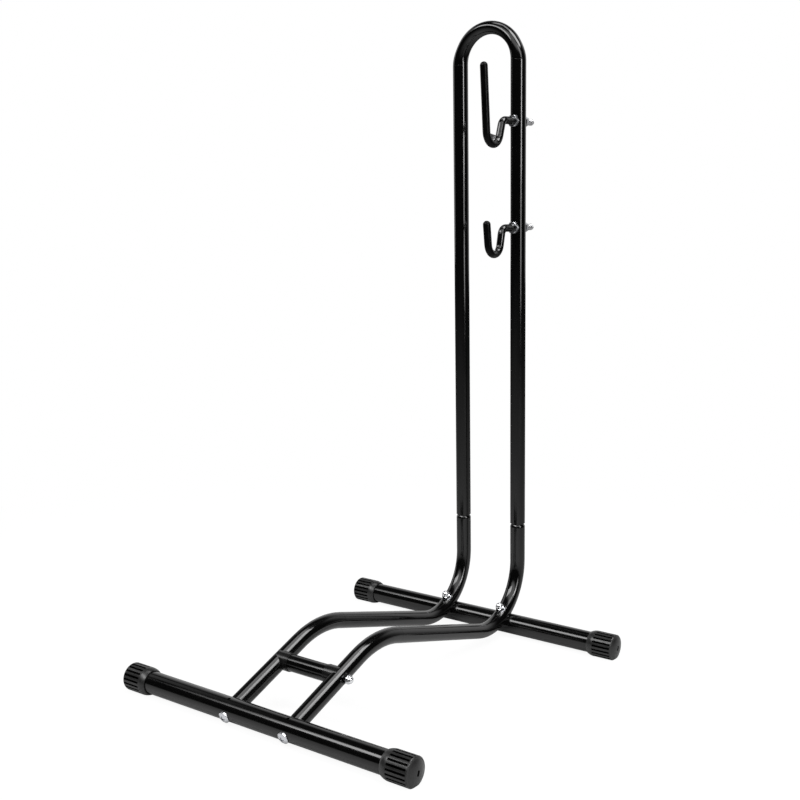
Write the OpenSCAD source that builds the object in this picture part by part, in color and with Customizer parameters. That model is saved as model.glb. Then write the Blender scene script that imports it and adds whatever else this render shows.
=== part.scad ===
// Floor bike rack: two base tubes on ribbed end caps, two bent rails that form a wheel slot,
// a tall hoop pushed onto the rails' upright ends, and two coated hooks bolted through one leg.
// X runs along the base tubes, Y from the front tube to the rear tube, Z up from the floor.

/* [Base tubes] */
// Width over the domed ends of the caps
overall_width = 405; // [330:1:520]
// Distance between the axes of the front and rear base tubes
tube_distance = 411; // [385:1:450]
// Outer diameter of the base tubes
base_d = 25.4; // [23:0.1:27]
// Wall of the base tubes
base_wall = 1.5; // [1:0.1:2]
// Diameter of the small hole on top of the front tube at each rail
vent_d = 3.6; // [1.5:0.1:4.5]
// Angle of that hole from straight up, away from the rails
vent_angle = 9; // [0:1:30]
// Distance of that hole to the left of the rail's middle
vent_shift = 1.6; // [0:0.1:14]

/* [End caps] */
// Outer diameter over the ribs
cap_d = 31.6; // [31:0.1:38]
// Whole length of a cap
cap_length = 36.5; // [30:0.5:60]
// Length of the smooth collar that flares from the tube to the ribs
collar_length = 8; // [5:0.5:14]
// Thickness of the collar's thin edge on the tube
collar_edge = 1; // [0.6:0.1:1.4]
// Length of the plain rim beyond the ribs
rim_length = 1.5; // [1.2:0.1:6]
// Rounding of the rim
rim_round = 2; // [0.5:0.1:2.6]
// Rise of the domed end
dome_rise = 3; // [1:0.5:5]
// Thickness of the cap's end
cap_end_wall = 3; // [2:0.5:4]
// Width of the slot in the end
slot_w = 3.2; // [1.2:0.1:4.5]
// Height of the slot in the end
slot_h = 5.6; // [5:0.1:8]
// Lean of the slot, in degrees
slot_lean = 20; // [-45:1:45]
// Number of grooves between the ribs
groove_count = 20; // [8:1:24]
// Width of a groove
groove_w = 2.4; // [1:0.1:3]
// Depth of a groove
groove_depth = 2; // [0.5:0.1:2.2]
// How far the cap's underside is flattened as a foot
foot_flat = 1.8; // [0.4:0.1:2.4]

/* [Rails] */
// Outer diameter of the rails and the hoop
rail_d = 19; // [17:0.1:20]
// Wall of the rails and the hoop
rail_wall = 1.5; // [1.1:0.1:2]
// Distance between the centre lines of the two rails
rail_spacing = 84; // [76:0.1:120]
// Distance of the hump's corner behind the front tube's axis
hump_run = 142; // [130:1:160]
// Height of the hump's corner above the front tube's axis
hump_rise = 59; // [52:1:66]
// Centre-line radius of the hump
hump_radius = 111; // [70:1:140]
// Centre-line radius of the bend up to the upright
rear_radius = 72.6; // [62:0.1:80]
// Distance of the upright's centre line behind the rear tube's axis
upright_setback = 30; // [24:0.5:36]
// Forward lean of the uprights, in degrees
lean = 1.56; // [0:0.01:3]
// Depth to which each rail is let into the rear tube
saddle_depth = 6.6; // [4:0.1:7.4]
// Height of the hoop's lower ends above the rear tube's axis, along the uprights
joint_rise = 126.5; // [110:0.5:160]
// Bare neck between the shoulder and the hoop's lower end
joint_gap = 1.2; // [0.6:0.1:4]
// Rounding of the shoulder under the hoop
shoulder_round = 5.5; // [2.2:0.1:8]
// Length of the neck inside the hoop's leg
neck_length = 40; // [20:1:70]

/* [Hoop] */
// Length of a straight leg, from its lower end to the arch
leg_length = 575.5; // [420:0.5:700]

/* [Cross bar] */
// Distance of the cross bar's axis behind the front tube's axis
cross_run = 77; // [60:1:84]
// Outer diameter of the cross bar
cross_d = 19; // [17:0.1:19.5]
// Wall of the cross bar
cross_wall = 1.5; // [1:0.1:2]
// Distance from a rail's side to the end of the cross bar
saddle_length = 7; // [5:0.1:14]
// Outer diameter of the saddles
saddle_d = 21; // [20.6:0.1:23]
// How far a saddle reaches round its rail, past the rail's centre line
saddle_wrap = 1.2; // [0.5:0.1:6]
// Outer diameter of the saddles' end ring
ring_d = 20.2; // [19.8:0.1:25]
// Width of the saddles' end ring
ring_w = 1.6; // [1:0.1:3]
// Length of the saddle's spigot inside the cross bar
spigot_length = 12; // [6:0.5:18]

/* [Hooks] */
// Diameter of the threaded rod
rod_d = 8; // [7:0.1:9]
// Thickness of the dipped coating
coat = 0.6; // [0.4:0.1:1.6]
// Depth of the upper hook's rod below the arch's centre
upper_below = 71.5; // [40:0.5:160]
// Distance between the two hooks' rods
hook_spacing = 127; // [100:0.5:300]
// Distance from the leg's centre line to the first bend
hook_run = 30; // [26:0.5:60]
// Centre-line radius of the first bend
drop_radius = 9; // [7:0.5:12]
// Straight length between the two bends
drop_length = 13.6; // [6:0.1:30]
// Centre-line radius of the upper hook's cradle
upper_cradle_radius = 14.6; // [10:0.1:25]
// Centre-line radius of the lower hook's cradle
lower_cradle_radius = 13.5; // [10:0.1:25]
// Angle turned by the upper hook's first bend
upper_drop_angle = 71; // [60:1:85]
// Angle turned by the lower hook's first bend
lower_drop_angle = 77; // [60:1:85]
// Forward lean of the upper hook's tine from the leg, in degrees
upper_tine_lean = 4; // [0:0.5:15]
// Forward lean of the lower hook's tine from the leg, in degrees
lower_tine_lean = 7; // [0:0.5:15]
// Straight length of the upper hook's tine
upper_tine = 74; // [40:1:110]
// Straight length of the lower hook's tine
lower_tine = 24; // [12:1:60]
// Reach of the rod behind the leg's centre line
rod_tail = 31.6; // [26:0.1:45]
// Chamfer at the rod's threaded end
rod_chamfer = 0.8; // [0.4:0.1:1.2]
// Bare rod between the front nut and the coating
bare_rod = 0.6; // [0.4:0.1:4]
// Width across the flats of the hook nuts
hook_nut_af = 13; // [12:0.1:15]
// Height of the hook nuts
hook_nut_h = 4.5; // [3.5:0.1:8]

/* [Frame fasteners] */
// Thread diameter of the frame bolts
bolt_d = 6; // [5:0.1:6.5]
// Diameter of the bolt heads
head_d = 13.4; // [11:0.1:14]
// Height of the bolt heads
head_h = 4.4; // [3:0.1:5]
// Width of the cross recess in the heads
recess_w = 1.4; // [0.8:0.1:1.6]
// Span of the cross recess
recess_span = 6.6; // [4:0.1:7]
// Depth of the cross recess
recess_depth = 1.8; // [1:0.1:2.2]
// Width across the flats of the cap nuts
cap_nut_af = 10; // [9.5:0.1:11]
// Height of the cap nut's hexagon
cap_nut_hex = 5; // [4:0.1:6]
// Height of the cap nut's dome above the hexagon
cap_nut_dome = 5.4; // [5:0.1:8]
// Outer diameter of the washers
washer_d = 11.6; // [11:0.1:14]
// Thickness of the washers
washer_t = 1.2; // [0.8:0.1:2]
// Depth of the pressed seats under bolt heads
seat_depth = 1.5; // [1:0.1:2]
// Depth of the pressed seats under the rear cap nuts
nut_seat_depth = 2.5; // [1.5:0.1:3]
// Depth of the pressed seats under the rear bolts' heads
rear_head_depth = 3.5; // [2.5:0.1:5]
// Diameter of the cross bolt's low head
cross_head_d = 10; // [8:0.1:12]
// Height of the cross bolt's low head
cross_head_h = 2.4; // [2:0.1:3]
// Depth of the pressed seat under the cross bolt's head
cross_head_depth = 3; // [1.5:0.1:3.4]
// Length of the threaded plug in each rail's front end
plug_length = 16; // [10:1:30]
// Depth of the plug behind the front tube's surface
plug_inset = 5; // [4:0.5:10]

/* [Hidden] */
// Gap between curved faces that seat on each other
seat_gap = 0.15;
// Gap between pieces that move on each other
move_gap = 0.3;
// Radial clearance of the necks in the hoop's legs and of threads in nuts
slide_gap = 0.06;
// Room round a bolt in its drilled hole
hole_gap = 0.3;
// Room round a head or washer in its pressed seat
seat_margin = 0.5;
// Overrun of the cuts
over = 1;
// A hair's step that keeps the joins between curved faces clean
hair = 0.02;
// How much thinner a bar is in its bends
bend_thinning = 0.05;
// How far the straights taper into the bends
bend_lap = 0.5;
// Flat left round the foot of a cap nut's dome
dome_margin = 0.4;
// Wall of material kept over the end of a bolt inside a cap nut
nut_end_wall = 1.6;
// Length of the taper where a rail's bore narrows to the neck
bore_taper = 4;
// Chamfer at the neck's top
neck_chamfer = 0.8;
// Plain barrel between a cap's collar and its grooves
groove_margin = 0.4;
// Straight tube kept inside the caps, short of their end wall
tube_end_gap = 0.5;

base_r = base_d / 2;
rail_r = rail_d / 2;
cap_r = cap_d / 2;
cross_r = cross_d / 2;
bolt_r = bolt_d / 2;
rod_r = rod_d / 2;
coat_r = rod_r + coat;
bolt_hole_r = bolt_r + hole_gap;
head_seat_r = head_d / 2 + seat_margin;
cross_head_seat_r = cross_head_d / 2 + seat_margin;
washer_seat_r = washer_d / 2 + seat_margin;
cap_nut_corner = cap_nut_af / 2 / cos(30);
nut_seat_r = cap_nut_corner + seat_margin;
neck_r = rail_r - rail_wall - slide_gap;
axis_height = cap_r - foot_flat;
tube_half = overall_width / 2 - cap_end_wall - tube_end_gap;
leg_x = rail_spacing / 2;

// The rear bend touches the let-in seat of the rear tube and the upright's line,
// in the side view measured from the front tube's axis.
upright_dir = [-sin(lean), cos(lean)];
upright_normal = [cos(lean), sin(lean)];
seat_reach = rear_radius + rail_r + base_r - saddle_depth;
bend_offset = upright_setback - rear_radius;
bend_climb = sqrt(seat_reach * seat_reach - bend_offset * bend_offset);
rear_axis = [tube_distance, 0];
bend_centre = rear_axis + upright_normal * bend_offset + upright_dir * bend_climb;
joint_place = rear_axis + upright_normal * upright_setback + upright_dir * joint_rise;

// The fall runs from the hump's corner to a tangent of the rear bend.
rise_angle = atan2(hump_rise, hump_run);
hump_to_bend = bend_centre - [hump_run, hump_rise];
fall_angle = asin(rear_radius / norm(hump_to_bend)) - atan2(hump_to_bend.y, hump_to_bend.x);
hump_turn = rise_angle + fall_angle;
hump_tangent = hump_radius * tan(hump_turn / 2);
rise_length = norm([hump_run, hump_rise]) - hump_tangent;
fall_length = sqrt(pow(norm(hump_to_bend), 2) - pow(rear_radius, 2)) - hump_tangent;
rear_turn = fall_angle + 90 + lean;
shoulder_drop = rail_r - neck_r;
shoulder_angle = acos(1 - shoulder_drop / shoulder_round);
shoulder_height = shoulder_round * sin(shoulder_angle);
shoulder_top = -joint_gap;
shoulder_foot = shoulder_top - shoulder_height;
upright_foot = bend_climb - joint_rise - bend_lap;

// The rear bolts run from the rear tube's axis to the centre of the rear bend.
rear_bolt_dir = bend_centre - rear_axis;
rear_bolt_angle = atan2(rear_bolt_dir.y, rear_bolt_dir.x);
rear_nut_seat = seat_reach - rear_radius + rail_r - nut_seat_depth;

// The cross bolt's seats lie at these distances from the middle plane.
cross_head_seat = leg_x + rail_r - cross_head_depth;
cross_nut_seat = leg_x + rail_r - seat_depth;
cross_height = cross_run * tan(rise_angle);
cross_length = rail_spacing - rail_d - 2 * saddle_length;

// The hooks keep their places below the arch.
upper_height = leg_length - upper_below;
lower_height = upper_height - hook_spacing;
front_nut_face = rail_r + move_gap + hook_nut_h;
coat_start = front_nut_face + bare_rod;

// The whole rack is centred in Y on its foremost and rearmost points.
lower_tail = joint_place + upright_dir * lower_height + upright_normal * rod_tail;
rearmost = lower_tail.x + (rod_r - rod_chamfer) * sin(lean);
y_middle = (rearmost - cap_r) / 2;

$fn = 96;
paint_black = "#1b1b1d";
plastic_black = "#2b2b2c";
zinc = "#c9cbce";
steel = "#9a9ca0";

// Placing

// Children drawn from the front tube's axis, with X along that tube.
module on_base() {
    translate([0, -y_middle, axis_height]) children();
}

// Children drawn in the side view: X rearward, Y up, Z along the base tubes.
module side_view(x = 0) {
    on_base() translate([x, 0, 0]) rotate([90, 0, 90]) children();
}

// Children drawn with Z up along the uprights, from the middle of the hoop's lower ends.
module on_uprights() {
    on_base() translate([0, joint_place.x, joint_place.y]) rotate([lean, 0, 0]) children();
}

// Children with Z along a rail's front bolt, from the front tube's axis towards the rail.
module on_front_bolt(side) {
    side_view(side * leg_x) rotate([0, 0, rise_angle]) rotate([0, 90, 0]) children();
}

// Children with Z along a rear bolt, from the rear tube's axis towards the bend's centre.
module on_rear_bolt(side) {
    side_view(side * leg_x) translate([rear_axis.x, rear_axis.y, 0])
        rotate([0, 0, rear_bolt_angle]) rotate([0, 90, 0]) children();
}

// Children with Z along the cross bolt, from the rack's middle plane towards one side.
module on_cross_bolt(side) {
    on_base() translate([0, cross_run, cross_height]) rotate([0, side * 90, 0]) children();
}

// Children with X forward and Y up, from the point where a hook's rod crosses the leg's centre line.
module on_hook(height) {
    on_uprights() translate([leg_x, 0, height]) rotate([0, 0, -90]) rotate([90, 0, 0]) children();
}

// Bent bars

// A bar of radius r along X, as [straight length, bend radius, turn] steps, positive turns to +Y.
// Its bends are a little thinner, and each straight tapers into them, so that the bar is one solid.
module bent_bar(steps, r, domed = false, i = 0) {
    run = steps[i][0];
    radius = steps[i][1];
    turn = steps[i][2];
    last = i == len(steps) - 1;
    rotate([0, 90, 0]) rotate_extrude() straight_outline(run, r, i > 0, turn != 0, domed && last);
    if (turn != 0) {
        side = sign(turn);
        translate([run, side * radius, 0]) {
            rotate([0, 0, side > 0 ? -90 : 90 + turn]) rotate_extrude(angle = abs(turn))
                translate([radius, 0]) circle(r = r - bend_thinning);
            if (!last) rotate([0, 0, turn]) translate([0, -side * radius, 0])
                bent_bar(steps, r, domed, i + 1);
        }
    }
}

// Half outline of a straight, tapered where it enters a bend behind or ahead, or domed at its end.
module straight_outline(run, r, bend_behind, bend_ahead, domed) {
    small_r = r - 2 * bend_thinning;
    start = bend_behind ? [[0, -bend_lap], [small_r, -bend_lap], [r, 0]] : [[0, 0], [r, 0]];
    end = bend_ahead ? [[r, run], [small_r, run + bend_lap], [0, run + bend_lap]] : [[r, run], [0, run]];
    polygon(concat(start, end));
    if (domed) translate([0, run]) intersection() {
        circle(r = r);
        square([r, r]);
    }
}

// A rail's run in the side view, from the front tube's axis to the foot of its upright.
module rail_bar(r) {
    rotate([0, 0, rise_angle]) bent_bar([[rise_length, hump_radius, -hump_turn],
        [fall_length, rear_radius, rear_turn]], r);
}

// Base tubes and caps

// A round pressed seat of radius r, whose floor lies at the given height on Z.
module seat_cut(height, r, depth) {
    translate([0, 0, height]) cylinder(h = depth + over, r = r);
}

module base_tube_blank(r, half) {
    rotate([0, 90, 0]) cylinder(h = 2 * half, r = r, center = true);
}

// The seats pressed into the front tube under the bolt heads, larger by grow.
module front_seats(grow) {
    for (side = [-1, 1]) on_front_bolt(side) mirror([0, 0, 1])
        seat_cut(base_r - seat_depth - grow, head_seat_r + grow, seat_depth + grow);
}

module front_base_tube() {
    color(paint_black) difference() {
        on_base() base_tube_blank(base_r, tube_half);
        front_seats(0);
        difference() {
            on_base() base_tube_blank(base_r - base_wall, tube_half + over);
            front_seats(base_wall);
        }
        for (side = [-1, 1]) {
            on_front_bolt(side) cylinder(h = base_d + 2 * over, r = bolt_hole_r, center = true);
            on_base() translate([side * leg_x - vent_shift, 0, 0]) rotate([vent_angle, 0, 0])
                cylinder(h = base_r + over, r = vent_d / 2);
        }
    }
}

// The channels and seats pressed into the rear tube by the rails and the bolt heads.
module rear_seats(grow) {
    for (side = [-1, 1]) {
        side_view(side * leg_x) rail_bar(rail_r + seat_gap + grow);
        on_rear_bolt(side) mirror([0, 0, 1])
            seat_cut(base_r - rear_head_depth - grow, head_seat_r + grow, rear_head_depth + grow);
    }
}

module rear_base_tube() {
    color(paint_black) difference() {
        on_base() translate([0, rear_axis.x, rear_axis.y]) base_tube_blank(base_r, tube_half);
        rear_seats(0);
        difference() {
            on_base() translate([0, rear_axis.x, rear_axis.y])
                base_tube_blank(base_r - base_wall, tube_half + over);
            rear_seats(base_wall);
        }
        for (side = [-1, 1])
            on_rear_bolt(side) cylinder(h = base_d + 2 * over, r = bolt_hole_r, center = true);
    }
}

// Half outline of a cap, with its axis on Y and its open edge at zero.
module cap_outline() {
    shoulder_at = cap_length - dome_rise - rim_round;
    flare_rise = cap_r + hair - base_r - seat_gap - collar_edge;
    flare_r = (collar_length * collar_length + flare_rise * flare_rise) / (2 * flare_rise);
    rim_r = cap_r - rim_round;
    dome_depth = dome_rise + hair;
    dome_r = (rim_r * rim_r + dome_depth * dome_depth) / (2 * dome_depth);
    intersection() {
        translate([cap_r + hair - flare_r, collar_length]) circle(r = flare_r);
        square([cap_r, collar_length]);
    }
    square([rim_r, shoulder_at]);
    translate([0, collar_length]) square([cap_r, shoulder_at - collar_length]);
    translate([0, shoulder_at - hair]) square([cap_r, hair]);
    translate([0, shoulder_at]) {
        square([rim_r, rim_round]);
        intersection() {
            translate([rim_r, 0]) circle(r = rim_round + hair);
            square([cap_r, rim_round]);
        }
        intersection() {
            translate([0, rim_round + dome_rise - dome_r]) circle(r = dome_r);
            square([rim_r, rim_round + dome_rise + over]);
        }
    }
}

// A cap with its axis on Z, open edge at zero and one rib facing -X.
module cap_blank() {
    groove_start = collar_length + groove_margin;
    groove_end = cap_length - dome_rise - rim_length;
    difference() {
        rotate_extrude() cap_outline();
        translate([0, 0, -over]) cylinder(h = cap_length - cap_end_wall + over, r = base_r + seat_gap);
        rotate([0, 0, -slot_lean]) translate([-slot_h / 2, -slot_w / 2, 0])
            cube([slot_h, slot_w, cap_length + over]);
        for (i = [0 : groove_count - 1]) rotate([0, 0, (i + 0.5) * 360 / groove_count])
            translate([cap_r - groove_depth, -groove_w / 2, groove_start])
                cube([groove_depth + over, groove_w, groove_end - groove_start]);
    }
}

// side is -1 for the left end and 1 for the right end of the tube whose axis lies at run.
module cap(side, run) {
    color(plastic_black) intersection() {
        on_base() translate([side * (overall_width / 2 - cap_length), run, 0])
            rotate([0, side * 90, 0]) rotate([0, 0, side > 0 ? 0 : 180]) cap_blank();
        translate([-overall_width, -overall_width - tube_distance, 0])
            cube([2 * overall_width, 2 * (overall_width + tube_distance), 2 * cap_d]);
    }
}

// Rails

// Half outline of a rail's upright with the shoulder and neck that carry the hoop.
module upright_outline() {
    stem = shoulder_foot - upright_foot;
    neck_rise = neck_length - neck_chamfer - shoulder_foot;
    translate([0, shoulder_foot]) {
        translate([0, -stem]) square([rail_r, stem]);
        intersection() {
            translate([rail_r - shoulder_round, 0]) circle(r = shoulder_round);
            square([rail_r + over, shoulder_round + over]);
        }
        square([neck_r, neck_rise]);
        translate([0, neck_rise]) polygon([[0, 0], [neck_r, 0],
            [neck_r - neck_chamfer, neck_chamfer], [0, neck_chamfer]]);
    }
}

module upright_bore_outline() {
    wide_r = rail_r - rail_wall;
    narrow_r = neck_r - rail_wall;
    polygon([[0, upright_foot], [wide_r, upright_foot], [wide_r, shoulder_foot - bore_taper],
        [narrow_r, shoulder_foot], [narrow_r, neck_length + over], [0, neck_length + over]]);
}

module rail_blank(side) {
    side_view(side * leg_x) rail_bar(rail_r);
    on_uprights() translate([side * leg_x, 0, 0]) rotate_extrude() upright_outline();
}

module rail_bore(side) {
    side_view(side * leg_x) rail_bar(rail_r - rail_wall);
    on_uprights() translate([side * leg_x, 0, 0]) rotate_extrude() upright_bore_outline();
}

// The seats pressed into a rail: under the rear cap nut and outside at the cross bolt.
module rail_seats(side, grow) {
    on_rear_bolt(side) seat_cut(rear_nut_seat - grow, washer_seat_r + grow, rail_d);
    if (side > 0) on_cross_bolt(1)
        seat_cut(cross_nut_seat - grow, nut_seat_r + grow, seat_depth + grow);
    if (side < 0) on_cross_bolt(-1)
        seat_cut(cross_head_seat - grow, cross_head_seat_r + grow, cross_head_depth + grow);
}

module rail(side) {
    color(paint_black) difference() {
        rail_blank(side);
        rail_seats(side, 0);
        difference() {
            rail_bore(side);
            rail_seats(side, rail_wall);
        }
        on_base() base_tube_blank(base_r + seat_gap, overall_width);
        on_rear_bolt(side) cylinder(h = seat_reach, r = bolt_hole_r);
        on_cross_bolt(side) translate([0, 0, leg_x - rail_d])
            cylinder(h = 2 * rail_d, r = bolt_hole_r);
    }
}

// The threaded plug fixed inside a rail's front end.
module rail_plug(side) {
    color(steel) on_front_bolt(side) translate([0, 0, base_r + plug_inset]) difference() {
        cylinder(h = plug_length, r = rail_r - rail_wall - slide_gap);
        translate([0, 0, -over]) cylinder(h = plug_length + 2 * over, r = bolt_r + slide_gap);
    }
}

// Frame fasteners

// A domed head below zero with a shank of the given length above it.
module pan_bolt(shank, d = head_d, h = head_h) {
    crown = h / 2;
    crown_r = (pow(d / 2, 2) + crown * crown) / (2 * crown);
    difference() {
        union() {
            translate([0, 0, -crown]) cylinder(h = shank + crown, r = bolt_r);
            rotate_extrude() intersection() {
                translate([0, crown_r - h]) circle(r = crown_r);
                translate([0, -h]) square([d / 2, h]);
            }
        }
        for (turn = [0, 90]) rotate([0, 0, turn])
            translate([-recess_span / 2, -recess_w / 2, -h - over])
                cube([recess_span, recess_w, recess_depth + over]);
    }
}

module hexagon(across_flats, h) {
    cylinder(h = h, r = across_flats / 2 / cos(30), $fn = 6);
}

// A nut seated at zero with both rims chamfered to its flats.
module chamfered_hexagon(across_flats, h, top, bottom) {
    corner = across_flats / 2 / cos(30);
    bevel = corner - across_flats / 2;
    intersection() {
        hexagon(across_flats, h);
        rotate_extrude() polygon([[0, 0], [corner - bottom * bevel, 0],
            [corner + over, bottom * (bevel + over) * tan(30)],
            [corner + over, h - top * (bevel + over) * tan(30)],
            [corner - top * bevel, h], [0, h]]);
    }
}

// A cap nut seated at zero, with its dome towards +Z.
module cap_nut() {
    dome_base_r = cap_nut_af / 2 - dome_margin;
    dome_r = (dome_base_r * dome_base_r + cap_nut_dome * cap_nut_dome) / (2 * cap_nut_dome);
    color(zinc) difference() {
        union() {
            chamfered_hexagon(cap_nut_af, cap_nut_hex, 1, 0);
            intersection() {
                translate([0, 0, cap_nut_hex + cap_nut_dome - dome_r]) sphere(r = dome_r);
                translate([0, 0, cap_nut_hex - over])
                    cylinder(h = cap_nut_dome + 2 * over, r = cap_nut_af);
            }
        }
        translate([0, 0, -over])
            cylinder(h = cap_nut_hex + cap_nut_dome - nut_end_wall + over, r = bolt_r + slide_gap);
    }
}

module washer() {
    color(zinc) difference() {
        cylinder(h = washer_t, r = washer_d / 2);
        translate([0, 0, -over]) cylinder(h = washer_t + 2 * over, r = bolt_hole_r);
    }
}

nut_bite = cap_nut_hex + cap_nut_dome - 2 * nut_end_wall;

module front_bolt(side) {
    color(zinc) on_front_bolt(side) translate([0, 0, seat_depth - base_r])
        pan_bolt(2 * base_r - seat_depth + plug_inset + plug_length - over);
}

module rear_bolt(side) {
    color(zinc) on_rear_bolt(side) translate([0, 0, rear_head_depth - base_r])
        pan_bolt(base_r - rear_head_depth + rear_nut_seat + washer_t + nut_bite);
}

module rear_washer(side) {
    on_rear_bolt(side) translate([0, 0, rear_nut_seat]) washer();
}

module rear_cap_nut(side) {
    on_rear_bolt(side) translate([0, 0, rear_nut_seat + washer_t]) cap_nut();
}

module cross_bolt() {
    color(zinc) on_cross_bolt(1) translate([0, 0, -cross_head_seat])
        pan_bolt(cross_head_seat + cross_nut_seat + nut_bite, cross_head_d, cross_head_h);
}

module cross_cap_nut() {
    on_cross_bolt(1) translate([0, 0, cross_nut_seat]) cap_nut();
}

// Cross bar

module cross_bar() {
    color(paint_black) on_cross_bolt(1) difference() {
        cylinder(h = cross_length, r = cross_r, center = true);
        cylinder(h = cross_length + 2 * over, r = cross_r - cross_wall, center = true);
    }
}

// A plastic saddle between the cross bar's end and its rail.
module saddle(side) {
    bar_end = cross_length / 2;
    color(plastic_black) difference() {
        on_cross_bolt(side) {
            translate([0, 0, bar_end + ring_w])
                cylinder(h = leg_x + saddle_wrap - bar_end - ring_w, r = saddle_d / 2);
            translate([0, 0, bar_end]) cylinder(h = ring_w + over, r = ring_d / 2);
            translate([0, 0, bar_end - spigot_length])
                cylinder(h = spigot_length + over, r = cross_r - cross_wall - slide_gap);
        }
        side_view(side * leg_x) rail_bar(rail_r + seat_gap);
        on_cross_bolt(side) cylinder(h = leg_x + rail_r, r = bolt_hole_r);
    }
}

// Hoop

module hoop_bar(r, extra) {
    translate([leg_x, 0, -extra]) rotate([90, -90, 0])
        bent_bar([[leg_length + extra, leg_x, 180], [leg_length + extra, 0, 0]], r);
}

module hoop() {
    color(paint_black) on_uprights() difference() {
        hoop_bar(rail_r, 0);
        hoop_bar(rail_r - rail_wall, over);
        for (height = [upper_height, lower_height]) translate([leg_x, 0, height])
            rotate([90, 0, 0]) cylinder(h = 2 * rail_d, r = rod_r + slide_gap, center = true);
    }
}

// Hooks

// The hook's bends, from the leg's centre line forward.
function hook_steps(drop_angle, cradle_radius, tine_lean, tine) = [
    [hook_run, drop_radius, -drop_angle],
    [drop_length, cradle_radius, 90 + drop_angle - tine_lean],
    [tine, 0, 0]];

module hook_rod(height, steps) {
    color(steel) on_hook(height) {
        bent_bar(steps, rod_r);
        translate([-rod_tail, 0, 0]) rotate([0, 90, 0]) {
            cylinder(h = rod_chamfer, r1 = rod_r - rod_chamfer, r2 = rod_r);
            translate([0, 0, rod_chamfer]) cylinder(h = rod_tail - rod_chamfer, r = rod_r);
        }
    }
}

module hook_coating(height, steps) {
    color(paint_black) on_hook(height) difference() {
        bent_bar(steps, coat_r, true);
        bent_bar(steps, rod_r);
        translate([-over, 0, 0]) rotate([0, 90, 0]) cylinder(h = coat_start + over, r = 2 * coat_r);
    }
}

// place is 1 for the nut in front of the leg and -1 for the nut behind it.
module hook_nut(height, place) {
    color(zinc) on_hook(height) rotate([0, place * 90, 0])
        translate([0, 0, rail_r + move_gap]) difference() {
            rotate([0, 0, place > 0 ? 0 : 30]) chamfered_hexagon(hook_nut_af, hook_nut_h, 1, 1);
            translate([0, 0, -over]) cylinder(h = hook_nut_h + 2 * over, r = rod_r + slide_gap);
        }
}

upper_steps = hook_steps(upper_drop_angle, upper_cradle_radius, upper_tine_lean, upper_tine);
lower_steps = hook_steps(lower_drop_angle, lower_cradle_radius, lower_tine_lean, lower_tine);

front_base_tube();
rear_base_tube();
cap(-1, 0);  // front_left_cap
cap(1, 0);  // front_right_cap
cap(-1, tube_distance);  // rear_left_cap
cap(1, tube_distance);  // rear_right_cap
rail(-1);  // left_rail
rail(1);  // right_rail
rail_plug(-1);  // left_rail_plug
rail_plug(1);  // right_rail_plug
front_bolt(-1);  // left_front_bolt
front_bolt(1);  // right_front_bolt
rear_bolt(-1);  // left_rear_bolt
rear_bolt(1);  // right_rear_bolt
rear_washer(-1);  // left_rear_washer
rear_washer(1);  // right_rear_washer
rear_cap_nut(-1);  // left_rear_cap_nut
rear_cap_nut(1);  // right_rear_cap_nut
cross_bar();
saddle(-1);  // left_saddle
saddle(1);  // right_saddle
cross_bolt();
cross_cap_nut();
hoop();
hook_rod(upper_height, upper_steps);  // upper_hook_rod
hook_coating(upper_height, upper_steps);  // upper_hook_coating
hook_nut(upper_height, 1);  // upper_front_nut
hook_nut(upper_height, -1);  // upper_rear_nut
hook_rod(lower_height, lower_steps);  // lower_hook_rod
hook_coating(lower_height, lower_steps);  // lower_hook_coating
hook_nut(lower_height, 1);  // lower_front_nut
hook_nut(lower_height, -1);  // lower_rear_nut
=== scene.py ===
"""The looks of a floor bike rack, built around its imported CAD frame. Metres, row frame."""
import math

import bmesh
import bpy
from mathutils import Matrix, Vector


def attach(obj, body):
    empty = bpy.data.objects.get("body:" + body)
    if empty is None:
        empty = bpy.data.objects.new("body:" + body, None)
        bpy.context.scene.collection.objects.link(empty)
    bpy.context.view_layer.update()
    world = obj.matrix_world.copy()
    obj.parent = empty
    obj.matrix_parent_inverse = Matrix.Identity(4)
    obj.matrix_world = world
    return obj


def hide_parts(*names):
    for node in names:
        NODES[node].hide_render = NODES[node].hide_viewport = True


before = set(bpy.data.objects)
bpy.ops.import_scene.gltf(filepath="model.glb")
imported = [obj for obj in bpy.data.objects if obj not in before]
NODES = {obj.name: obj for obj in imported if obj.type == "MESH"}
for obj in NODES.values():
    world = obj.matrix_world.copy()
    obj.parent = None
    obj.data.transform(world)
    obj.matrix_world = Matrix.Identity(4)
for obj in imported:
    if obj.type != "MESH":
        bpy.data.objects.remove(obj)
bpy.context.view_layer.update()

MM = 0.001

# Camera, fitted to the photograph
CAMERA_PLACE = (0.7927, -1.0324, 0.5093)
CAMERA_AZIMUTH = math.radians(37.02)
CAMERA_PITCH = math.radians(9.615)
CAMERA_ROLL = math.radians(0.058)
CAMERA_LENS = 51.71
CAMERA_SENSOR = 36.0
CAMERA_SHIFT_Y = 0.0369
CAMERA_CLIP = 0.01

# Hooks: axis of the straight end of each rod, from the CAD row frame
UP = Vector((0.0, -0.0272238, 0.9996294))
BACK = Vector((0.0, 0.9996294, 0.0272238))
LEG_X = 42 * MM

# Base tubes' axes and the caps' ribs, from the CAD row frame
FRONT_AXIS_Y, REAR_AXIS_Y, BASE_AXIS_Z = -0.22158, 0.18942, 0.014
CAP_RADIUS = 15.8 * MM
RIBS_START, RIBS_END = 174.4 * MM, 198.0 * MM

# The caps' grooves get painted shade: they turn dark from this depth to that below the ribs, down to this
# colour level
GROOVE_EDGE, GROOVE_DARK = 0.2 * MM, 1.3 * MM
GROOVE_SHADE_LEVEL = 0.0006

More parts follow.
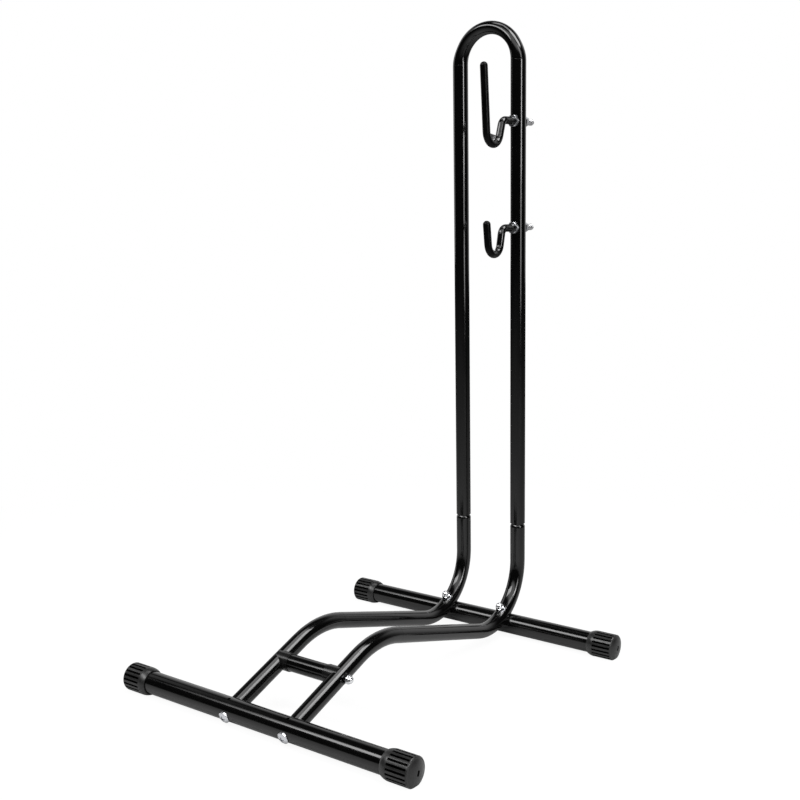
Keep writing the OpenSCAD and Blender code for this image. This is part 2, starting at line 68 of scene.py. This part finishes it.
# Black paint: noise scales per metre, bump heights, darkest and lightest colour, roughness
PEEL_SCALE, SWELL_SCALE, PATCH_SCALE = 480.0, 60.0, 28.0
PEEL_HEIGHT, SWELL_HEIGHT = 0.0008 * MM, 0.02 * MM
PAINT_COLOURS = ((0.0007, 0.0007, 0.0008, 1), (0.0013, 0.0013, 0.0012, 1))
PAINT_ROUGH = (0.10, 0.15)

# Moulded plastic and plated steel: noise scales and the height of the plastic's grain
GRAIN_SCALE, PLASTIC_CLOUD_SCALE = 2600.0, 140.0
GRAIN_HEIGHT = 0.03 * MM
MOTTLE_SCALE, STEEL_CLOUD_SCALE = 900.0, 260.0

# The hooks' coating: where it turns from the rough tine, darkened by painted shade, to the bends in Y, and
# the looks of both
BEND_SPAN = (0.142, 0.150)
WAVE_SCALE, RIPPLE_SCALE, COATING_CLOUD_SCALE = 150.0, 420.0, 60.0
WAVE_HEIGHT, RIPPLE_HEIGHT = 0.6 * MM, 0.04 * MM
COATING_COLOURS = ((0.0010, 0.0010, 0.0011, 1), (0.0018, 0.0018, 0.0017, 1))
TINE_ROUGH, BEND_ROUGH = (0.27, 0.36), (0.05, 0.09)
TINE_SHADE = 0.8

# The hoop's arch: how much its tube is flattened and widened, and how far its middle line drops
ARCH_START = math.radians(32)
ARCH_FLAT, ARCH_SWELL = 0.17, 0.06
ARCH_DROP = 0.6 * MM

# Thread of the hooks' rods
THREAD_PITCH = 1.25 * MM
THREAD_DEPTH = 0.65 * MM
THREAD_SIDES = 32
THREAD_RINGS_PER_TURN = 10
THREAD_CHAMFER = 0.8 * MM
THREAD_INSET = 0.03 * MM
THREAD_CREST, THREAD_SLOPE, THREAD_ROOT = 0.16, 0.36, 0.12
ROD_TAIL = 10 * MM


class Graph:
    """Short calls for building one shader tree."""

    def __init__(self, tree):
        self.tree = tree
        tree.nodes.clear()

    def add(self, kind, inputs=None, **settings):
        node = self.tree.nodes.new(kind)
        for key, value in settings.items():
            setattr(node, key, value)
        for key, value in (inputs or {}).items():
            self.put(node.inputs[key], value)
        return node

    def put(self, socket, value):
        if isinstance(value, bpy.types.NodeSocket):
            self.tree.links.new(value, socket)
        elif value is not None:
            socket.default_value = value

    def math(self, operation, a, b=None, c=None, clamp=False):
        node = self.add("ShaderNodeMath", operation=operation, use_clamp=clamp)
        for socket, value in zip(node.inputs, (a, b, c)):
            self.put(socket, value)
        return node.outputs[0]

    def smooth(self, value, low, high, to_low=0.0, to_high=1.0):
        node = self.add("ShaderNodeMapRange", interpolation_type="SMOOTHSTEP")
        for socket, item in zip(node.inputs, (value, low, high, to_low, to_high)):
            self.put(socket, item)
        return node.outputs[0]

    def noise(self, where, scale, detail=2.0, rough=0.5):
        inputs = {"Vector": where, "Scale": scale, "Detail": detail, "Roughness": rough}
        return self.add("ShaderNodeTexNoise", inputs).outputs["Fac"]

    def mix_colour(self, factor, a, b):
        node = self.add("ShaderNodeMix", data_type="RGBA")
        self.put(node.inputs[0], factor)
        self.put(node.inputs[6], a)
        self.put(node.inputs[7], b)
        return node.outputs[2]


def grey(value):
    return (value, value, value, 1.0)


def new_material(name):
    material = bpy.data.materials.new(name)
    material.use_nodes = True
    return material, Graph(material.node_tree)


def surface(g, base, rough, bump, metallic=0.0):
    """Ends a graph in a Principled shader."""
    inputs = {"Base Color": base, "Roughness": rough, "Metallic": metallic, "Normal": bump}
    shader = g.add("ShaderNodeBsdfPrincipled", inputs)
    g.add("ShaderNodeOutputMaterial", {"Surface": shader.outputs[0]})


def object_place(g):
    return g.add("ShaderNodeTexCoord").outputs["Object"]


def bump_of(g, height, distance, strength, after=None):
    node = g.add("ShaderNodeBump", {"Strength": strength, "Distance": distance, "Height": height})
    if after is not None:
        g.put(node.inputs["Normal"], after)
    return node.outputs[0]


def black_paint():
    """Glossy black powder coat with a faint orange peel and uneven patches."""
    material, g = new_material("black_paint")
    peel = g.noise(object_place(g), PEEL_SCALE, 1.0)
    swell = g.noise(object_place(g), SWELL_SCALE, 1.0)
    patches = g.noise(object_place(g), PATCH_SCALE, 4.0, 0.6)
    base = g.mix_colour(patches, *PAINT_COLOURS)
    rough = g.smooth(patches, 0.3, 0.75, *PAINT_ROUGH)
    bump = bump_of(g, swell, SWELL_HEIGHT, 0.5)
    bump = bump_of(g, peel, PEEL_HEIGHT, 0.5, bump)
    surface(g, base, rough, bump)
    return material


def painted_groove_shade(g, place):
    """Mask of the shade painted into the caps' grooves: 1 at their bottom, 0 on the ribs, collars, rims
    and faces.
    """
    x, y, z = g.add("ShaderNodeSeparateXYZ", {0: place}).outputs
    to_front = g.math("ABSOLUTE", g.math("SUBTRACT", y, FRONT_AXIS_Y))
    to_rear = g.math("ABSOLUTE", g.math("SUBTRACT", y, REAR_AXIS_Y))
    along_y = g.math("MINIMUM", to_front, to_rear)
    above = g.math("SUBTRACT", z, BASE_AXIS_Z)
    squares = g.math("ADD", g.math("MULTIPLY", along_y, along_y), g.math("MULTIPLY", above, above))
    groove_shade = g.smooth(g.math("SQRT", squares), CAP_RADIUS - GROOVE_DARK, CAP_RADIUS - GROOVE_EDGE, 1.0, 0.0)
    outward = g.math("ABSOLUTE", x)
    past_start = g.math("GREATER_THAN", outward, RIBS_START)
    before_end = g.math("LESS_THAN", outward, RIBS_END)
    return g.math("MULTIPLY", groove_shade, g.math("MULTIPLY", past_start, before_end))


def moulded_plastic(name, low, high, rough_low, rough_high, shade_grooves=False):
    """Matte moulded plastic with a fine spark grain; its grooves can be painted black as shade."""
    material, g = new_material(name)
    place = object_place(g)
    grain = g.noise(place, GRAIN_SCALE, 3.0, 0.6)
    cloud = g.noise(place, PLASTIC_CLOUD_SCALE, 3.0)
    base = g.mix_colour(cloud, grey(low), grey(high))
    rough = g.smooth(cloud, 0.25, 0.75, rough_low, rough_high)
    groove_shade = 0.0
    if shade_grooves:
        groove_shade = painted_groove_shade(g, place)
        # Painted shade: the grooves take a near-black colour and, as near-black metal, lose their
        # reflection too
        base = g.mix_colour(groove_shade, base, grey(GROOVE_SHADE_LEVEL))
    surface(g, base, rough, bump_of(g, grain, GRAIN_HEIGHT, 0.7), metallic=groove_shade)
    return material


def dipped_coating():
    """Thick dip with slow waves left by the flow: rough and darkened by painted shade on the tines, nearly
    mirror smooth in the bends.
    """
    material, g = new_material("dipped_coating")
    place = object_place(g)
    waves = g.noise(place, WAVE_SCALE, 2.0, 0.55)
    ripples = g.noise(place, RIPPLE_SCALE, 1.0)
    cloud = g.noise(place, COATING_CLOUD_SCALE, 2.0)
    base = g.mix_colour(cloud, *COATING_COLOURS)
    backward = g.add("ShaderNodeSeparateXYZ", {0: place}).outputs[1]
    bend = g.smooth(backward, *BEND_SPAN)
    tine = g.math("SUBTRACT", 1.0, bend)
    tine_rough = g.smooth(cloud, 0.3, 0.7, *TINE_ROUGH)
    bend_rough = g.smooth(cloud, 0.3, 0.7, *BEND_ROUGH)
    rough = g.math("ADD", g.math("MULTIPLY", bend_rough, bend), g.math("MULTIPLY", tine_rough, tine))
    bump = bump_of(g, waves, WAVE_HEIGHT, 0.55)
    bump = bump_of(g, ripples, RIPPLE_HEIGHT, 0.5, bump)
    # Painted shade: on the tines the coating is partly near-black metal, which darkens its reflection
    surface(g, base, rough, bump, metallic=g.math("MULTIPLY", tine, TINE_SHADE))
    return material


def plated(name, colours, rough_range, mark_height):
    """Plated steel: metallic, with a slight mottle and tumbling marks."""
    material, g = new_material(name)
    place = object_place(g)
    mottle = g.noise(place, MOTTLE_SCALE, 3.0, 0.6)
    cloud = g.noise(place, STEEL_CLOUD_SCALE, 2.0)
    base = g.mix_colour(cloud, *colours)
    rough = g.smooth(mottle, 0.3, 0.7, *rough_range)
    surface(g, base, rough, bump_of(g, mottle, mark_height, 0.5), metallic=1.0)
    return material


# Plated steels: darkest and lightest colour, lowest and highest roughness, height of the marks
STEELS = {
    "zinc_steel": (((0.62, 0.63, 0.66, 1), (0.74, 0.75, 0.77, 1)), (0.14, 0.28), 0.01 * MM),
    "chrome_plate": (((0.78, 0.79, 0.81, 1), (0.86, 0.87, 0.88, 1)), (0.04, 0.09), 0.004 * MM),
    "plain_steel": (((0.50, 0.50, 0.51, 1), (0.60, 0.60, 0.61, 1)), (0.22, 0.36), 0.01 * MM),
}
MATERIALS = {
    "black_paint": black_paint(),
    "cap_plastic": moulded_plastic("cap_plastic", 0.006, 0.010, 0.30, 0.38, shade_grooves=True),
    "saddle_plastic": moulded_plastic("saddle_plastic", 0.003, 0.005, 0.18, 0.26),
    "dipped_coating": dipped_coating(),
}
for steel, looks in STEELS.items():
    MATERIALS[steel] = plated(steel, *looks)


def dress_nodes():
    """Gives every CAD node the finished material of its slot."""
    for node in NODES.values():
        for slot in node.material_slots:
            slot.material = MATERIALS[slot.material.name.split(".")[0]]


def add_piece(name, bm, slot, body):
    mesh = bpy.data.meshes.new(name)
    bm.to_mesh(mesh)
    bm.free()
    piece = bpy.data.objects.new(name, mesh)
    bpy.context.scene.collection.objects.link(piece)
    mesh.materials.append(MATERIALS[slot])
    for face in mesh.polygons:
        face.use_smooth = True
    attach(piece, body)
    return piece


def thread_profile(phase):
    """Share of the thread's depth cut away at this phase of a turn: flat crest, slopes, narrow root."""
    phase = phase % 1.0
    if phase < THREAD_CREST:
        return 0.0
    if phase < THREAD_CREST + THREAD_SLOPE:
        return (phase - THREAD_CREST) / THREAD_SLOPE
    if phase < THREAD_CREST + THREAD_SLOPE + THREAD_ROOT:
        return 1.0
    return (1.0 - phase) / THREAD_SLOPE


def add_thread(bm, start, axis, radius, length):
    """A closed threaded rod from start along axis. Its first end is chamfered."""
    side = axis.orthogonal().normalized()
    other = axis.cross(side)
    rings = int(length / THREAD_PITCH * THREAD_RINGS_PER_TURN)
    rows = []
    for i in range(rings + 1):
        along = length * i / rings
        cap_radius = radius - max(0.0, THREAD_CHAMFER - along)
        row = []
        for k in range(THREAD_SIDES):
            angle = 2 * math.pi * k / THREAD_SIDES
            cut = thread_profile(along / THREAD_PITCH - k / THREAD_SIDES) * THREAD_DEPTH
            r = min(radius - cut, cap_radius)
            point = start + axis * along + (side * math.cos(angle) + other * math.sin(angle)) * r
            row.append(bm.verts.new(point))
        rows.append(row)
    for low, high in zip(rows, rows[1:]):
        for k in range(THREAD_SIDES):
            n = (k + 1) % THREAD_SIDES
            bm.faces.new((low[k], low[n], high[n], high[k]))
    bm.faces.new(list(reversed(rows[0])))
    bm.faces.new(rows[-1])


def threaded_rod(which):
    """Stands for a hook's rod, with a real thread on its bare end."""
    node = NODES[f"{which}_hook_rod"]
    coating = NODES[f"{which}_hook_coating"]
    tail = max(v.co.dot(BACK) for v in node.data.vertices)
    end_of_coating = max(v.co.dot(BACK) for v in coating.data.vertices)
    near_tail = [v.co for v in node.data.vertices if v.co.dot(BACK) > tail - ROD_TAIL]
    heights = [co.dot(UP) for co in near_tail]
    radius = (max(heights) - min(heights)) / 2
    height = (max(heights) + min(heights)) / 2
    end = Vector((LEG_X, 0, 0)) + BACK * tail + UP * height
    bm = bmesh.new()
    bm.from_mesh(node.data)
    everything = bm.verts[:] + bm.edges[:] + bm.faces[:]
    cut = BACK * end_of_coating
    bmesh.ops.bisect_plane(bm, geom=everything, plane_co=cut, plane_no=BACK, clear_outer=True)
    open_edges = [e for e in bm.edges if e.is_boundary]
    bmesh.ops.holes_fill(bm, edges=open_edges)
    add_thread(bm, end, -BACK, radius - THREAD_INSET, tail - end_of_coating)
    bmesh.ops.recalc_face_normals(bm, faces=bm.faces[:])
    piece = add_piece(f"{which}_threaded_rod", bm, "plain_steel", f"{which}_hook")
    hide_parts(node.name)
    return piece


def arch_share(turn):
    """0 on the straight legs, 1 over the arch, with a smooth start on each side of the bend."""
    share = min(1.0, max(0.0, math.sin(turn) / math.sin(ARCH_START)))
    return share * share * (3 - 2 * share)


def flattened_hoop():
    """Stands for the hoop, with its tube flattened in the tight arch, as bent tube is."""
    node = NODES["hoop"]
    top = max(v.co.dot(UP) for v in node.data.vertices)
    tube = max(v.co.x for v in node.data.vertices) - LEG_X
    centre = top - tube - LEG_X
    bm = bmesh.new()
    bm.from_mesh(node.data)
    long_edges = [e for e in bm.edges if min(v.co.dot(UP) for v in e.verts) > centre - tube]
    bmesh.ops.subdivide_edges(bm, edges=long_edges, cuts=1, use_grid_fill=True)
    depths = [v.co.dot(BACK) for v in bm.verts]
    middle = (min(depths) + max(depths)) / 2
    for v in bm.verts:
        height = v.co.dot(UP) - centre
        if height <= 0:
            continue
        reach = math.hypot(v.co.x, height)
        share = arch_share(math.atan2(height, abs(v.co.x)))
        offset = reach - LEG_X
        new_reach = LEG_X - ARCH_DROP * share + offset * (1 - ARCH_FLAT * share)
        back = v.co.dot(BACK) - middle
        v.co += BACK * (back * ARCH_SWELL * share)
        v.co.x *= new_reach / reach
        v.co += UP * (height * (new_reach / reach - 1))
    bmesh.ops.recalc_face_normals(bm, faces=bm.faces[:])
    piece = add_piece("hoop_tube", bm, "black_paint", "hoop")
    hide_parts(node.name)
    return piece


def add_camera():
    camera = bpy.data.cameras.new("camera")
    camera.lens = CAMERA_LENS
    camera.sensor_width = CAMERA_SENSOR
    camera.shift_y = CAMERA_SHIFT_Y
    camera.clip_start = CAMERA_CLIP
    a, p, r = CAMERA_AZIMUTH, CAMERA_PITCH, CAMERA_ROLL
    forward = Vector((-math.sin(a) * math.cos(p), math.cos(a) * math.cos(p), -math.sin(p)))
    right = Vector((math.cos(a), math.sin(a), 0.0))
    down = forward.cross(right)
    x_axis = right * math.cos(r) + down * math.sin(r)
    y_axis = right * math.sin(r) - down * math.cos(r)
    matrix = Matrix((x_axis, y_axis, -forward)).transposed().to_4x4()
    matrix.translation = CAMERA_PLACE
    item = bpy.data.objects.new("camera", camera)
    item.matrix_world = matrix
    bpy.context.scene.collection.objects.link(item)
    bpy.context.scene.camera = item


def to_camera(g, path):
    """1 on rays that reach the camera straight or through glass."""
    return g.math("MAXIMUM", path.outputs["Is Camera Ray"], path.outputs["Is Transmission Ray"])


# Floor: half its width (m), its glow to the camera from near to far, how much light it gives back
# and how that falls off with the distance from the middle, a pool of light painted into its colour
FLOOR_SIZE = 12.0
FLOOR_SEGMENTS = 8
FLOOR_GLOW = 0.92
FLOOR_GLOW_NEAR, FLOOR_GLOW_FAR = 0.35, 1.1
FLOOR_LIT = 0.54
FLOOR_FALL, FLOOR_FALL_START = 0.555, 0.305


def add_floor():
    bm = bmesh.new()
    bmesh.ops.create_grid(bm, x_segments=FLOOR_SEGMENTS, y_segments=FLOOR_SEGMENTS, size=FLOOR_SIZE)
    mesh = bpy.data.meshes.new("floor")
    bm.to_mesh(mesh)
    bm.free()
    floor = bpy.data.objects.new("floor", mesh)
    bpy.context.scene.collection.objects.link(floor)
    material, g = new_material("studio_floor")
    length = g.add("ShaderNodeVectorMath", {0: object_place(g)}, operation="LENGTH")
    distance = length.outputs["Value"]
    # Painted light: the floor's colour darkens away from the middle, a pool of light seen in reflections
    # and in the light it throws back
    painted_light_pool = g.math("DIVIDE", FLOOR_FALL, g.math("ADD", distance, FLOOR_FALL_START), clamp=True)
    white = g.smooth(distance, FLOOR_GLOW_NEAR, FLOOR_GLOW_FAR, FLOOR_GLOW, 1.0)
    seen = to_camera(g, g.add("ShaderNodeLightPath"))
    share = g.math("MULTIPLY", seen, white)
    level = g.math("MAXIMUM", g.math("MULTIPLY", painted_light_pool, FLOOR_LIT), seen)
    colour = g.add("ShaderNodeCombineColor", {0: level, 1: level, 2: level}).outputs[0]
    lit = g.add("ShaderNodeBsdfDiffuse", {"Color": colour})
    glow = g.add("ShaderNodeEmission", {"Color": grey(1.0), "Strength": 1.0})
    mix = g.add("ShaderNodeMixShader", {0: share, 1: lit.outputs[0], 2: glow.outputs[0]})
    g.add("ShaderNodeOutputMaterial", {"Surface": mix.outputs[0]})
    mesh.materials.append(material)


# World: level outside the panels and level for diffuse light.
# Panels of the studio as azimuth, elevation, half width, half height (degrees) and level.
# Azimuth 0 is towards -Y and 90 towards +X.
WORLD_BASE = 0.02
WORLD_FILL = 0.15
PANEL_INNER, PANEL_OUTER = 0.7, 1.3
BACKDROP = (-165.0, 12.0, 46.0, 27.0, 0.8)
PANELS = (
    (-92.0, 8.0, 12.0, 34.0, 1.3),
    (26.0, 44.0, 44.0, 18.0, 1.9),
    (-130.0, 78.0, 70.0, 8.0, 3.3),
    (125.0, 78.0, 50.0, 8.0, 3.3),
)


def lobe(g, azimuth, elevation, panel):
    """Soft-edged patch of the sky: its level at the panel, 0 outside."""
    middle, height, half_width, half_height, level = panel
    turn = g.math("WRAP", g.math("SUBTRACT", azimuth, middle), 180.0, -180.0)
    aside = g.math("ABSOLUTE", turn)
    across = g.smooth(aside, half_width * PANEL_INNER, half_width * PANEL_OUTER, 1.0, 0.0)
    lift = g.math("ABSOLUTE", g.math("SUBTRACT", elevation, height))
    along = g.smooth(lift, half_height * PANEL_INNER, half_height * PANEL_OUTER, 1.0, 0.0)
    return g.math("MULTIPLY", g.math("MULTIPLY", across, along), level)


def add_world():
    world = bpy.data.worlds.new("studio")
    bpy.context.scene.world = world
    world.use_nodes = True
    g = Graph(world.node_tree)
    direction = g.add("ShaderNodeTexCoord").outputs["Generated"]
    x, y, z = g.add("ShaderNodeSeparateXYZ", {0: direction}).outputs
    elevation = g.math("DEGREES", g.math("ARCSINE", z))
    azimuth = g.math("DEGREES", g.math("ARCTAN2", x, g.math("MULTIPLY", y, -1.0)))
    backdrop = lobe(g, azimuth, elevation, BACKDROP)
    level = WORLD_BASE
    for panel in PANELS:
        level = g.math("MAXIMUM", level, lobe(g, azimuth, elevation, panel))
    path = g.add("ShaderNodeLightPath")
    level = g.math("MAXIMUM", level, g.math("MULTIPLY", path.outputs["Is Diffuse Ray"], WORLD_FILL))
    gloss = g.math("MULTIPLY", path.outputs["Is Glossy Ray"], backdrop)
    white = g.math("MAXIMUM", to_camera(g, path), gloss, clamp=True)
    strength = g.add("ShaderNodeMix", data_type="FLOAT")
    g.put(strength.inputs[0], white)
    g.put(strength.inputs[2], level)
    g.put(strength.inputs[3], 1.0)
    background = g.add("ShaderNodeBackground", {"Color": grey(1.0), "Strength": strength.outputs[0]})
    g.add("ShaderNodeOutputWorld", {"Surface": background.outputs[0]})


# Softboxes: name, azimuth, elevation, distance, sideways shift, width, height (m) and radiance
SOFTBOXES = (
    ("key", -27.0, 44.0, 3.3, 0.14, 2.7, 1.0, 8.0),
    ("key_fade", -27.0, 44.0, 3.3, -1.335, 0.25, 1.0, 3.2),
    ("key_end", -27.0, 44.0, 3.3, -1.585, 0.25, 1.0, 1.2),
    ("side", 80.0, 5.0, 1.9, 0.0, 0.46, 0.42, 5.0),
    ("glint", 84.0, 15.6, 2.15, 0.0, 0.36, 0.5, 14.0),
    ("over_glint", 80.0, 38.0, 2.2, 0.0, 0.6, 1.0, 4.0),
    ("top", 116.0, 60.0, 2.6, 0.0, 1.0, 1.2, 9.0),
)
LIGHT_TARGET = Vector((0.0, 0.0, 0.3))


def add_softboxes():
    for name, azimuth, elevation, distance, shift, width, height, radiance in SOFTBOXES:
        a, e = math.radians(azimuth), math.radians(elevation)
        way = Vector((math.sin(a) * math.cos(e), -math.cos(a) * math.cos(e), math.sin(e)))
        sideways = Vector((math.cos(a), math.sin(a), 0.0))
        light = bpy.data.lights.new(name, "AREA")
        light.shape = "RECTANGLE"
        light.size = width
        light.size_y = height
        light.energy = math.pi * width * height * radiance
        item = bpy.data.objects.new(name, light)
        item.location = LIGHT_TARGET + way * distance + sideways * shift
        item.rotation_euler = way.to_track_quat("Z", "Y").to_euler()
        item.visible_camera = False
        bpy.context.scene.collection.objects.link(item)


bpy.context.scene.view_settings.view_transform = "Standard"
add_camera()
add_world()
add_floor()
add_softboxes()
dress_nodes()
flattened_hoop()
for hook in ("upper", "lower"):
    threaded_rod(hook)
